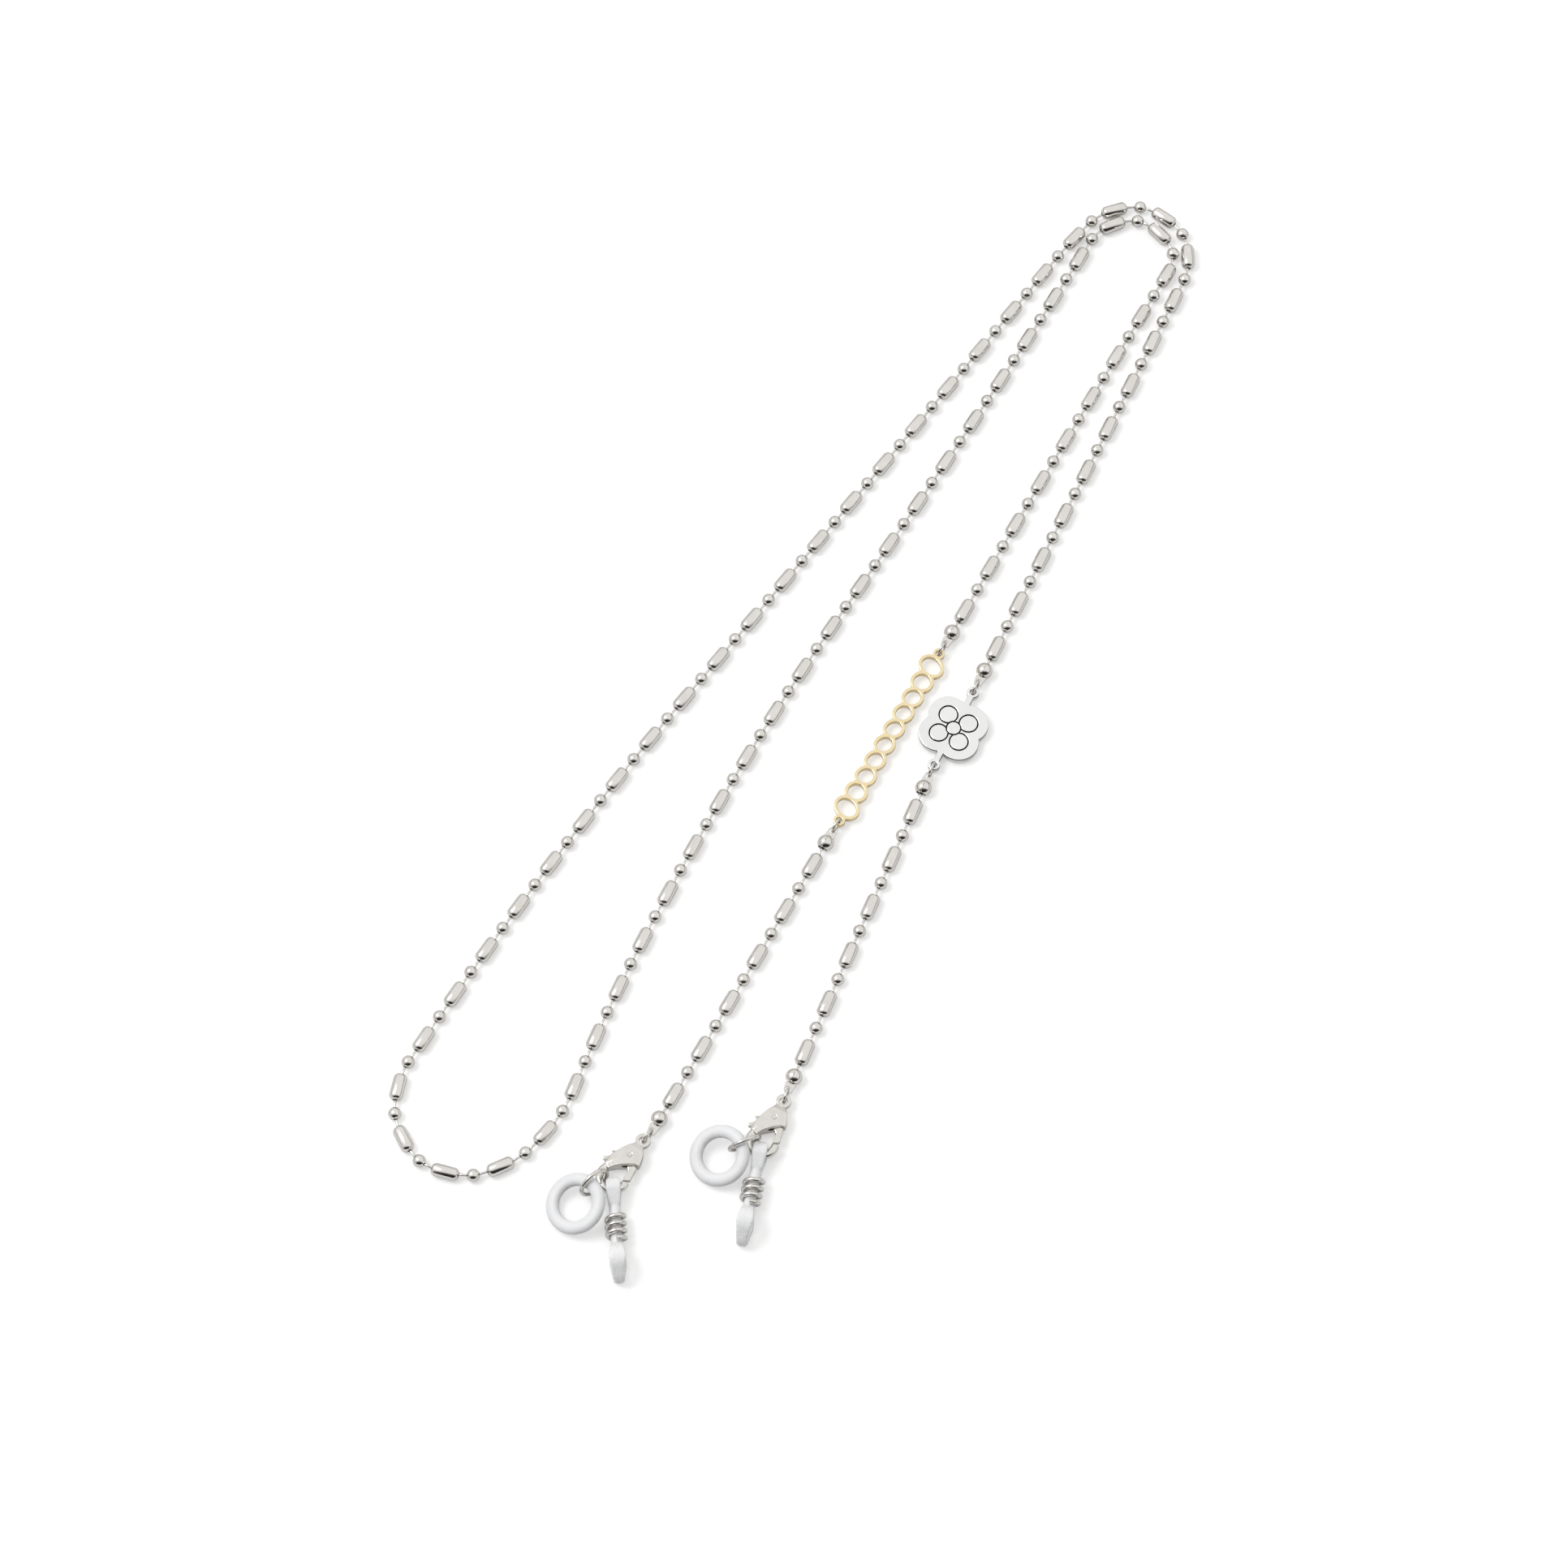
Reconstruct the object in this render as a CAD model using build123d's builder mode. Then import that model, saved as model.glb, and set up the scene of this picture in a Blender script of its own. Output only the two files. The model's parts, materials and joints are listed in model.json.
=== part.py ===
"""Ball-and-bar eyeglass chain, laid out in two nested loops on a table.

Millimetres, +Z up from the table, the strands run along +Y.  Every place along the chain is
worked out by a walk: it starts at one ball of the lower bend and goes out along both halves,
link by link, so each piece sits where its neighbour holds it.  In a piece's own frame +X
points along the chain away from the lower bend, +Y is left of it and +Z is up.
"""

import os
from math import asin, atan2, cos, degrees, hypot, radians, sin, sqrt
from typing import NamedTuple

from build123d import *

# ---- chain: hollow balls and bars joined by dumbbell pins -----------------------------------
BALL_D = 2.3
BAR_D = 2.4
BAR_LENGTH = 4.8
BAR_NOSE = 0.9  # rounding of a bar's ends
SHELL_WALL = 0.2
NECK_HOLE_D = 0.86  # the holes that the pins come out of
PIN_WIRE_D = 0.44
PIN_HEAD_D = 0.98
PIN_LENGTH = 2.34  # between the centres of a pin's two heads
PIN_PLAY = 0.03

# ---- how the chain lies: (joints between pieces, degrees turned to the left over them) --------
START_AT = (-11.48, -109.5)  # the ball of the lower bend where the walk starts
START_HEADING = 41.0
LEFT_LAY = [(4, 33.4), (6, 28.1), (14, -5.3), (28, -6.8), (36, 2.7), (10, -179.7), (34, 1.3)]
RIGHT_LAY = [(6, -71.3), (6, -58.0), (8, -1.2), (26, -5.0), (46, 0.7), (4, -7.7), (6, -82.5),
             (6, -78.6), (36, 0.1)]
LEFT_STRETCHES = [3, 10, 16, 4]  # pitches in each stretch that swings as one, from the lower bend
RIGHT_STRETCHES = [5, 10, 16, 5]
TAIL_PITCHES = 6  # the short chains between the ornaments and the clasps

# ---- end caps that close on the last ball of a chain --------------------------------------------
CAP_WALL = 0.2
CAP_PLAY = 0.1
CAP_MOUTH_D = 1.7
CAP_SEAM = 0.06
TAB_REACH = 2.45  # from the cap's centre to the hole of its tab
TAB_HOLE_D = 1.0
TAB_RIM = 0.28
TAB_THICK = 0.4

# ---- small jump rings ----------------------------------------------------------------------------
RING_MEAN_D = 2.5
RING_WIRE_D = 0.5
RING_SPLIT = 0.06

# ---- gilt openwork bar -----------------------------------------------------------------------------
SCROLL_SPAN = 36.5  # between the centres of its two eyes
SCROLL_THICK = 1.0
SCROLL_LOOPS = 10
SCROLL_STROKE = 0.62
SCROLL_SLANT = 68.0
SCROLL_LOOP_LONG = 3.7
SCROLL_END_GROWTH = 1.35  # the first and last loops against the middle ones
EYE_HOLE_D = 1.1
EYE_RIM = 0.5
SCROLL_HEADINGS = (-87.5, -85.9, -86.6, -86.1)  # upper ring, bar, lower ring, chain below

# ---- silver four-lobed pendant -----------------------------------------------------------------------
PENDANT_SPAN = 15.5
PENDANT_THICK = 1.2
PENDANT_LOBE_D = 7.0
PENDANT_LOBE_OUT = 2.75
GROOVE_WIDE = 0.22
GROOVE_DEEP = 0.25
PENDANT_HEADINGS = (-82.5, -83.8, -81.0, -79.8)

# ---- lobster clasp, 12 mm over all -------------------------------------------------------------------
CLASP_THICK = 2.8
CLASP_DOME_WIDE = 6.3  # where the belly's round back and front would meet
CLASP_EYE_D = 2.6
CLASP_EYE_HOLE_D = 1.3
CLASP_EYE_THICK = 1.0
HOOK_CENTRE = (8.3, -0.25)
HOOK_MEAN_R = 2.3
HOOK_WIRE_D = 1.4
HOOK_TIP_ANGLE = 100.0  # the hook runs round its centre from its tip to its root
HOOK_ROOT_ANGLE = 115.0
LEVER_PIVOT = (3.7, -0.1)
LEVER_THICK = 1.0
LEVER_HUB_D = 1.9
LEVER_PLAY = 0.08
LEVER_PIN_D = 0.8
LEVER_PIN_PLAY = 0.05
LEVER_NUB = (6.3, -3.45)
GATE_CORNERS = [(3.75, 0.6), (4.75, 2.05), (8.2, 2.7), (8.2, 1.42), (6.0, 1.2), (4.5, -0.2)]
GATE_REACH = 4.4  # from the pivot to the gate's tip, which closes on the hook's tip
LEVER_OPENS = 15.0
PRESS_PLAY = 0.01
SPRING_THICK = 0.14

# ---- hook ring and silicone ring ---------------------------------------------------------------------
HOOK_RING_MEAN_D = 5.4
HOOK_RING_WIRE_D = 0.7
GRIP_RING_D = 10.6
GRIP_RING_HOLE_D = 6.2
GRIP_RING_THICK = 1.8

# ---- silicone temple loop and its coil ---------------------------------------------------------------
LOOP_BAND = 0.95
LOOP_EYE_R = 1.08  # inside of the small end, round the clasp's hook
LOOP_SLIT = 0.1
LOOP_NECK_START = 2.9
LOOP_NECK_END = 10.0
LOOP_BELLY = (12.9, 0.75, 2.7)  # along, up, outer radius of the temple opening's middle
LOOP_TIP = (14.6, 2.1)  # along, outer radius of its rounded tip
LOOP_WIDE = 2.5
LOOP_BELLY_WIDE = 2.9
LOOP_TIP_WIDE = 1.9
COIL_WIRE_D = 0.85
COIL_PITCH = 1.3
COIL_TURNS = 3.5
COIL_PLAY = 0.05
COIL_START = 4.6


class Fittings(NamedTuple):
    """How one end lies: headings and angles round the hook in degrees, reaches in millimetres."""

    ring_heading: float
    clasp_heading: float
    loop_at: float  # where on the hook the temple loop hangs
    loop_heading: float
    link_at: float  # where on the hook the hook ring hangs
    link_reach: float  # from the hook's wire to the hook ring's middle
    link_hang: tuple  # heading, lift and roll of the hook ring
    band_reach: float  # from there to the silicone ring's band
    grip_hang: tuple  # heading, lift and roll of the silicone ring


LEFT_END = Fittings(-95.0, -92.0, 39.0, -53.0, -37.5, 1.4, (-116.0, 43.5, -77.0),
                    1.08, (-94.5, -16.5, 12.0))
RIGHT_END = Fittings(-76.0, -81.0, 13.0, -68.0, -64.0, 1.32, (-113.5, 52.0, 76.0),
                     1.12, (-123.0, -19.5, -0.5))

# ---- worked out from the sizes above -------------------------------------------------------------
HOLE_R = NECK_HOLE_D / 2
HEAD_SEAT = sqrt((PIN_HEAD_D / 2) ** 2 - HOLE_R ** 2) + PIN_PLAY
BALL_SEAT = sqrt((BALL_D / 2 - SHELL_WALL) ** 2 - HOLE_R ** 2) - HEAD_SEAT
BAR_CORE = BAR_LENGTH / 2 - BAR_NOSE  # where the rounding of a bar's end begins
NOSE_INNER = BAR_NOSE - SHELL_WALL
NOSE_MOUTH = sqrt(NOSE_INNER ** 2 - (HOLE_R - (BAR_D / 2 - BAR_NOSE)) ** 2)
BAR_SEAT = BAR_CORE + NOSE_MOUTH - HEAD_SEAT
CAP_D = BALL_D + 2 * (CAP_PLAY + CAP_WALL)
BEAD_Z = max(BALL_D, BAR_D) / 2  # the bars lie on the table
CAP_Z = CAP_D / 2
RING_Z = (RING_MEAN_D + RING_WIRE_D) / 2
LOOP_PIVOT_Z = LOOP_EYE_R + LOOP_BAND
GRIP_BAND = (GRIP_RING_D - GRIP_RING_HOLE_D) / 2
HOOK_INNER_R = HOOK_MEAN_R - HOOK_WIRE_D / 2
HOOK_OUTER_R = HOOK_MEAN_R + HOOK_WIRE_D / 2
LOOP_SET_R = (HOOK_OUTER_R + sqrt(HOOK_INNER_R ** 2 - (LOOP_WIDE / 2) ** 2)) / 2

nodes = {}
pivots = {}


def bead(core, nose):
    """A thin round-nosed shell along X, open at both ends where the pins come out.

    Its nose arcs start at the distance core from the middle, and a ball has a core of nothing.
    """
    walls = []
    for shrink in (0, SHELL_WALL):
        radius = nose - shrink
        barrel = BAR_D / 2 - nose if core else 0
        rise = asin((HOLE_R - barrel) / radius)
        walls.append((radius, barrel, degrees(rise)))
    with BuildPart() as shell:
        with BuildSketch(Plane.XZ):
            with BuildLine():
                ends = []
                for radius, barrel, rise in walls:
                    right = CenterArc((core, barrel), radius, rise, 90 - rise)
                    left = CenterArc((-core, barrel), radius, 90, 90 - rise)
                    if core:
                        Line(right @ 1, left @ 0)
                    ends.append((right @ 0, left @ 1))
                Line(ends[0][0], ends[1][0])
                Line(ends[0][1], ends[1][1])
            make_face()
        revolve(axis=Axis.X)
    return shell.part


def make_ball():
    """Hollow ball of the chain."""
    return bead(0, BALL_D / 2)


def make_bar():
    """Hollow round-nosed bar of the chain."""
    return bead(BAR_CORE, BAR_NOSE)


def make_pin():
    """Dumbbell pin: a wire with a round head at each end, one in a ball and one in a bar."""
    head_r = PIN_HEAD_D / 2
    wire_angle = degrees(asin(PIN_WIRE_D / PIN_HEAD_D))
    with BuildPart() as pin:
        with BuildSketch(Plane.XZ):
            with BuildLine():
                right = CenterArc((PIN_LENGTH / 2, 0), head_r, 0, 180 - wire_angle)
                left = CenterArc((-PIN_LENGTH / 2, 0), head_r, wire_angle, 180 - wire_angle)
                Line(right @ 1, left @ 0)
                Line(left @ 1, right @ 0)
            make_face()
        revolve(axis=Axis.X)
    return pin.part


def make_cap():
    """End cap: two half shells closed on a ball, with a flat tab pointing along +X."""
    rim_r = TAB_HOLE_D / 2 + TAB_RIM
    with BuildPart() as cap:
        Sphere(CAP_D / 2)
        with BuildSketch() as tab_plan:
            with Locations((CAP_D / 4, 0)):
                Circle(CAP_D / 3)
            with Locations((TAB_REACH, 0)):
                Circle(rim_r)
            make_hull()
        extrude(amount=TAB_THICK / 2, both=True)
        Sphere(CAP_D / 2 - CAP_WALL, mode=Mode.SUBTRACT)
        with Locations((-CAP_D / 2, 0, 0)):
            Cylinder(CAP_MOUTH_D / 2, CAP_D, rotation=(0, 90, 0), mode=Mode.SUBTRACT)
            Box(1.5 * CAP_D, CAP_SEAM, CAP_D, mode=Mode.SUBTRACT)
        with Locations((TAB_REACH, 0, 0)):
            Cylinder(TAB_HOLE_D / 2, CAP_D, mode=Mode.SUBTRACT)
    return cap.part


def make_wire_ring(mean_d, wire_d):
    """Split ring of round wire in the XY plane, its split on the +Y side."""
    open_angle = degrees(RING_SPLIT / (mean_d / 2))
    with BuildPart() as ring:
        with BuildSketch(Plane.XZ):
            with Locations((mean_d / 2, 0)):
                Circle(wire_d / 2)
        revolve(axis=Axis.Z, revolution_arc=360 - open_angle)
    return ring.part.rotate(Axis.Z, 90 + open_angle / 2)


def loop_growth(share):
    """How much larger a loop of the openwork bar is, from 1 in the middle to full at its ends."""
    return 1 + (SCROLL_END_GROWTH - 1) * (2 * share - 1) ** 4


def make_scroll_bar():
    """Openwork bar of slanted running loops, an eye at each end, first eye at the origin."""
    eye_r = EYE_HOLE_D / 2 + EYE_RIM
    pitch = (SCROLL_SPAN - 2 * eye_r) / SCROLL_LOOPS
    loops = []
    for index in range(SCROLL_LOOPS):
        grown = loop_growth(index / (SCROLL_LOOPS - 1))
        along = eye_r + pitch * (index + 0.5)
        half_long = SCROLL_LOOP_LONG * grown / 2
        half_wide = pitch / 2 / sin(radians(SCROLL_SLANT)) + SCROLL_STROKE / 3
        loops.append((Location((along, 0, 0), (0, 0, SCROLL_SLANT)), half_long, half_wide))
    with BuildPart() as bar:
        with BuildSketch():
            for place, half_long, half_wide in loops:
                with Locations(place):
                    Ellipse(half_long, half_wide)
            for place, half_long, half_wide in loops:
                with Locations(place):
                    Ellipse(half_long - SCROLL_STROKE, half_wide - SCROLL_STROKE,
                            mode=Mode.SUBTRACT)
            with Locations((0, 0), (SCROLL_SPAN, 0)):
                Circle(eye_r)
            with Locations((0, 0), (SCROLL_SPAN, 0)):
                Circle(EYE_HOLE_D / 2, mode=Mode.SUBTRACT)
        extrude(amount=SCROLL_THICK / 2, both=True)
    return bar.part


def make_pendant():
    """Four-lobed flat pendant with engraved rings, an eye at each end, first eye at the origin."""
    eye_r = EYE_HOLE_D / 2 + EYE_RIM
    middle = PENDANT_SPAN / 2
    top = Plane.XY.offset(PENDANT_THICK / 2)
    with BuildPart() as pendant:
        with BuildSketch():
            with Locations((middle, 0)):
                with PolarLocations(PENDANT_LOBE_OUT, 4, start_angle=45):
                    Circle(PENDANT_LOBE_D / 2)
                Circle(PENDANT_LOBE_OUT)
                Rectangle(PENDANT_SPAN, 2 * EYE_RIM)
            with Locations((0, 0), (PENDANT_SPAN, 0)):
                Circle(eye_r)
            with Locations((0, 0), (PENDANT_SPAN, 0)):
                Circle(EYE_HOLE_D / 2, mode=Mode.SUBTRACT)
        extrude(amount=PENDANT_THICK / 2, both=True)
        with BuildSketch(top):
            with Locations((middle, 0)):
                with PolarLocations(PENDANT_LOBE_OUT, 4, start_angle=45):
                    engraved_ring(PENDANT_LOBE_D / 4)
                engraved_ring(PENDANT_LOBE_OUT / 2)
        extrude(amount=-GROOVE_DEEP, mode=Mode.SUBTRACT)
    return pendant.part


def engraved_ring(radius):
    """A narrow ring in the sketch being built."""
    Circle(radius)
    Circle(radius - GROOVE_WIDE, mode=Mode.SUBTRACT)


def turned(point, angle):
    """A point of the clasp after the lever's pivot has turned it."""
    dx = point[0] - LEVER_PIVOT[0]
    dy = point[1] - LEVER_PIVOT[1]
    c, s = cos(radians(angle)), sin(radians(angle))
    return (LEVER_PIVOT[0] + dx * c - dy * s, LEVER_PIVOT[1] + dx * s + dy * c)


def on_hook(angle, radius):
    """Point of the clasp's hook at an angle and a radius about the hook's centre."""
    return Location((HOOK_CENTRE[0] + radius * cos(radians(angle)),
                     HOOK_CENTRE[1] + radius * sin(radians(angle)), 0))


def clasp_outline():
    """Plan of the clasp's belly, from behind its eye to the root of its hook."""
    inner_root = on_hook(-HOOK_ROOT_ANGLE, HOOK_INNER_R).position
    outer_root = on_hook(-HOOK_ROOT_ANGLE, HOOK_OUTER_R).position
    with BuildSketch() as outline:
        with BuildLine():
            back = Spline([outer_root, (5.1, -2.75), (2.9, -1.8), (1.0, -0.8)])
            flank = Spline([(1.0, 0.8), (2.0, 1.5), (3.3, 2.05), (4.4, 2.3)])
            gate_root = Line(flank @ 1, (4.6, 1.5))
            Spline([gate_root @ 1, (5.4, 0.45), (6.5, -0.85), inner_root])
            Line(back @ 1, flank @ 0)
            Line(inner_root, outer_root)
        make_face()
    return outline.sketch


def lever_gate(play):
    """Plan of the lever's gate, grown by a play; its tip stays on a circle about the pivot."""
    with BuildSketch() as gate:
        with BuildLine():
            Polyline(GATE_CORNERS, close=True)
        make_face()
        if play:
            offset(amount=play)
        with Locations(LEVER_PIVOT):
            Circle(GATE_REACH + play, mode=Mode.INTERSECT)
    return gate.sketch


def clasp_slot():
    """Plan of the slot that the lever swings in: the gate's side, the nub's side and the hub."""
    with BuildSketch() as slot:
        for corners, radius in ((GATE_CORNERS + [turned(c, -LEVER_OPENS) for c in GATE_CORNERS],
                                 LEVER_PLAY),
                                ([LEVER_PIVOT, LEVER_NUB, turned(LEVER_NUB, -LEVER_OPENS)],
                                 LEVER_HUB_D / 4 + LEVER_PLAY)):
            with BuildSketch(mode=Mode.PRIVATE) as patch:
                with Locations(*corners):
                    Circle(radius)
                make_hull()
            add(patch.sketch)
        with Locations(LEVER_PIVOT):
            Circle(LEVER_HUB_D / 2 + LEVER_PLAY)
            Circle(GATE_REACH + LEVER_PLAY, mode=Mode.INTERSECT)
    return slot.sketch


def hook_wire():
    """Round wire of the hook, from its root to its tip."""
    with BuildPart() as wire:
        with BuildSketch(Plane.XZ):
            with Locations((HOOK_MEAN_R, 0)):
                Circle(HOOK_WIRE_D / 2)
        revolve(axis=Axis.Z, revolution_arc=HOOK_TIP_ANGLE + HOOK_ROOT_ANGLE)
    return wire.part.rotate(Axis.Z, -HOOK_ROOT_ANGLE).moved(on_hook(0, 0))


def make_clasp_body():
    """Cast body of the clasp: eye at the origin, domed belly, hook, and the lever's slot."""
    top_line = [(-CLASP_EYE_D / 2, CLASP_EYE_THICK / 2), (0.9, CLASP_EYE_THICK / 2),
                (2.4, CLASP_THICK * 0.42), (LEVER_PIVOT[0] + 0.3, CLASP_THICK / 2),
                (6.0, CLASP_THICK * 0.43), (HOOK_CENTRE[0] - 0.3, HOOK_WIRE_D / 2 + 0.05),
                (HOOK_CENTRE[0] + HOOK_MEAN_R + HOOK_WIRE_D, HOOK_WIRE_D / 2)]
    with BuildPart() as body:
        extrude(clasp_outline(), amount=CLASP_THICK, both=True)
        with BuildSketch(Plane.XZ) as side:
            with BuildLine():
                over = Spline(top_line)
                under = Spline([(x, -z) for x, z in top_line])
                Line(over @ 0, under @ 0)
                Line(over @ 1, under @ 1)
            make_face()
        extrude(amount=CLASP_THICK * 3, both=True, mode=Mode.INTERSECT)
        with BuildSketch(Plane.YZ):
            with Locations((HOOK_CENTRE[1], 0)):
                Ellipse(CLASP_DOME_WIDE / 2, CLASP_THICK / 2)
        extrude(amount=CLASP_THICK * 6, mode=Mode.INTERSECT)
        add(hook_wire())
        Cylinder(CLASP_EYE_D / 2, CLASP_EYE_THICK)
        Cylinder(CLASP_EYE_HOLE_D / 2, CLASP_THICK, mode=Mode.SUBTRACT)
        extrude(clasp_slot(), amount=LEVER_THICK / 2 + LEVER_PLAY, both=True, mode=Mode.SUBTRACT)
        with Locations(LEVER_PIVOT):
            Cylinder(LEVER_PIN_D / 2, 2 * CLASP_THICK, mode=Mode.SUBTRACT)
    return body.part


def make_lever():
    """Gate lever: a hub with the gate on one side and the thumb nub's arm on the other."""
    with BuildPart() as lever:
        with BuildSketch():
            add(lever_gate(0))
            with BuildSketch(mode=Mode.PRIVATE) as arm:
                with Locations(LEVER_PIVOT):
                    Circle(LEVER_HUB_D / 4)
                with Locations(LEVER_NUB):
                    Circle(LEVER_HUB_D / 6)
                make_hull()
            add(arm.sketch)
            with Locations(LEVER_PIVOT):
                Circle(LEVER_HUB_D / 2)
                Circle(LEVER_PIN_D / 2 + LEVER_PIN_PLAY, mode=Mode.SUBTRACT)
        extrude(amount=LEVER_THICK / 2, both=True)
    return lever.part


def make_lever_pin():
    """Rivet that the lever turns on, flush with the body's cheeks."""
    with BuildPart() as pin:
        with Locations(LEVER_PIVOT):
            Cylinder(LEVER_PIN_D / 2 - PRESS_PLAY, CLASP_THICK - 4 * PRESS_PLAY)
    return pin.part


def beside_arm(turn, along, aside):
    """Point of the clasp by the lever's arm turned by an angle, on the side it opens to."""
    arm = atan2(LEVER_NUB[1] - LEVER_PIVOT[1], LEVER_NUB[0] - LEVER_PIVOT[0]) + radians(turn)
    return (LEVER_PIVOT[0] + along * cos(arm) + aside * sin(arm),
            LEVER_PIVOT[1] + along * sin(arm) - aside * cos(arm))


def make_lever_spring():
    """Bent leaf between the slot's wall and the lever's arm."""
    wall_side = LEVER_HUB_D / 4
    with BuildPart() as spring:
        with BuildSketch():
            with BuildLine():
                leaf = Polyline([beside_arm(-LEVER_OPENS, LEVER_HUB_D, wall_side),
                                 beside_arm(-LEVER_OPENS, 1.6 * LEVER_HUB_D, wall_side),
                                 beside_arm(0, 1.25 * LEVER_HUB_D, wall_side + SPRING_THICK / 3)])
            trace(leaf, SPRING_THICK)
        extrude(amount=LEVER_THICK / 2 - LEVER_PLAY, both=True)
    return spring.part


def make_grip_ring():
    """Silicone ring of rounded section in the XY plane."""
    with BuildPart() as grip:
        with BuildSketch(Plane.XZ):
            with Locations((GRIP_RING_HOLE_D / 2 + GRIP_BAND / 2, 0)):
                RectangleRounded(GRIP_BAND, GRIP_RING_THICK, GRIP_RING_THICK * 0.38)
        revolve(axis=Axis.Z)
    return grip.part


def lobe(circles):
    """Sketch of the hull round circles given as (along, up, radius)."""
    with BuildSketch(Plane.XZ, mode=Mode.PRIVATE) as hull:
        for along, up, radius in circles:
            with Locations((along, up)):
                Circle(radius)
        make_hull()
    return hull.sketch


def temple_outline(inset):
    """Side of the temple loop's hulls, grown inwards by an inset: eye, neck and temple end."""
    neck = (LOOP_BAND + LOOP_SLIT / 2) - inset
    belly_x, belly_up, belly_r = LOOP_BELLY
    tip_x, tip_r = LOOP_TIP
    eye_r = LOOP_EYE_R + LOOP_BAND - inset
    return (lobe([(0, 0, eye_r), (LOOP_NECK_START, 0, neck)]),
            lobe([(LOOP_NECK_START, 0, neck), (LOOP_NECK_END, 0, neck)]),
            lobe([(LOOP_NECK_END, 0, neck), (belly_x, belly_up, belly_r - inset),
                  (tip_x, tip_r - LOOP_PIVOT_Z, tip_r - inset)]))


def make_temple_loop():
    """Silicone loop on edge: a small eye round the hook at the origin, then the neck, then the
    opening for the temple.  It stands on the table at -LOOP_PIVOT_Z."""
    with BuildPart() as loop:
        for hull in temple_outline(0):
            extrude(hull, amount=LOOP_BELLY_WIDE / 2, both=True)
        for hull in temple_outline(LOOP_BAND):
            extrude(hull, amount=LOOP_BELLY_WIDE, both=True, mode=Mode.SUBTRACT)
        add(loop_envelope(), mode=Mode.INTERSECT)
    return loop.part


def loop_envelope():
    """The space that narrows the temple loop's band at its neck and rounds its ends in plan."""
    neck_r = LOOP_BAND + LOOP_SLIT / 2
    tall = 2 * LOOP_BELLY[2] + LOOP_WIDE
    eye_end = LOOP_WIDE / 2 - LOOP_EYE_R - LOOP_BAND
    tip_end = LOOP_TIP[0] + LOOP_TIP[1] - LOOP_TIP_WIDE / 2
    eye_discs = ((eye_end, LOOP_WIDE), (eye_end + LOOP_EYE_R, LOOP_WIDE))
    temple_discs = ((LOOP_BELLY[0], LOOP_BELLY_WIDE), (tip_end, LOOP_TIP_WIDE))
    with BuildPart() as space:
        for neck_x, discs in ((LOOP_NECK_START, eye_discs), (LOOP_NECK_END, temple_discs)):
            with BuildSketch() as plan:
                with Locations((neck_x, 0)):
                    Rectangle(LOOP_SLIT, 2 * neck_r)
                for along, wide in discs:
                    with Locations((along, 0)):
                        Circle(wide / 2)
                make_hull()
            extrude(amount=tall, both=True)
        with Locations(((LOOP_NECK_START + LOOP_NECK_END) / 2, 0, 0)):
            Cylinder(neck_r, LOOP_NECK_END - LOOP_NECK_START, rotation=(0, 90, 0))
    return space.part


def make_coil():
    """Open coil of round wire that slides on the loop's neck, its axis along X from the origin."""
    mean_r = LOOP_BAND + LOOP_SLIT / 2 + COIL_PLAY + COIL_WIRE_D / 2
    with BuildPart() as coil:
        with BuildLine() as turns:
            Helix(COIL_PITCH, COIL_PITCH * COIL_TURNS, mean_r)
        with BuildSketch(Plane(turns.line @ 0, z_dir=turns.line % 0)):
            Circle(COIL_WIRE_D / 2)
        sweep(is_frenet=True)
    return coil.part.rotate(Axis.Y, 90)


# ---- where everything lies --------------------------------------------------------------------------


class Walk:
    """A place and a heading that go along the chain, turning a little at each joint."""

    def __init__(self, heading, lay):
        self.x, self.y = START_AT
        self.heading = heading
        self.turns = [angle / joints for joints, angle in lay for _ in range(joints)]
        self.joint = 0

    def go(self, length):
        """Move ahead and give the new point in plan."""
        self.x += length * cos(radians(self.heading))
        self.y += length * sin(radians(self.heading))
        return self.x, self.y

    def bend(self):
        """Turn by the next joint's share of the lay."""
        self.heading += self.turns[self.joint]
        self.joint += 1

    def place(self, z):
        """Location at the walk's point, its X along the heading."""
        return Location((self.x, self.y, z), (0, 0, self.heading))


def pin_place(start, end):
    """Location of a pin whose heads are at two points."""
    dx, dy, dz = (end[i] - start[i] for i in range(3))
    middle = tuple((start[i] + end[i]) / 2 for i in range(3))
    lift = degrees(atan2(dz, hypot(dx, dy)))
    return Location(middle, (0, 0, degrees(atan2(dy, dx)))) * Location((0, 0, 0), (0, -lift, 0))


def lay_stretch(walk, pitches, last_z=BEAD_Z, first_z=BEAD_Z):
    """Balls, bars and pins of a stretch that starts behind the ball the walk stands on."""
    balls, bars, pins = [], [], []
    ball_z = first_z
    for index in range(pitches):
        next_z = last_z if index == pitches - 1 else BEAD_Z
        head = (*walk.go(BALL_SEAT), ball_z)
        walk.bend()
        pins.append(pin_place(head, (*walk.go(PIN_LENGTH), BEAD_Z)))
        walk.bend()
        walk.go(BAR_SEAT)
        bars.append(walk.place(BEAD_Z))
        head = (*walk.go(BAR_SEAT), BEAD_Z)
        walk.bend()
        pins.append(pin_place(head, (*walk.go(PIN_LENGTH), next_z)))
        walk.bend()
        walk.go(BALL_SEAT)
        balls.append(walk.place(next_z))
        ball_z = next_z
    return balls, bars, pins


def plan_ahead(point, heading, length):
    """The point in plan that lies ahead of another."""
    return (point[0] + length * cos(radians(heading)), point[1] + length * sin(radians(heading)))


def standing_ring(point, heading):
    """A jump ring's wire crosses the level of its middle at the point, the ring lies ahead."""
    x, y = plan_ahead(point, heading, RING_MEAN_D / 2)
    return Location((x, y, RING_Z), (0, 0, heading)) * Location((0, 0, 0), (90, 0, 0))


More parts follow.
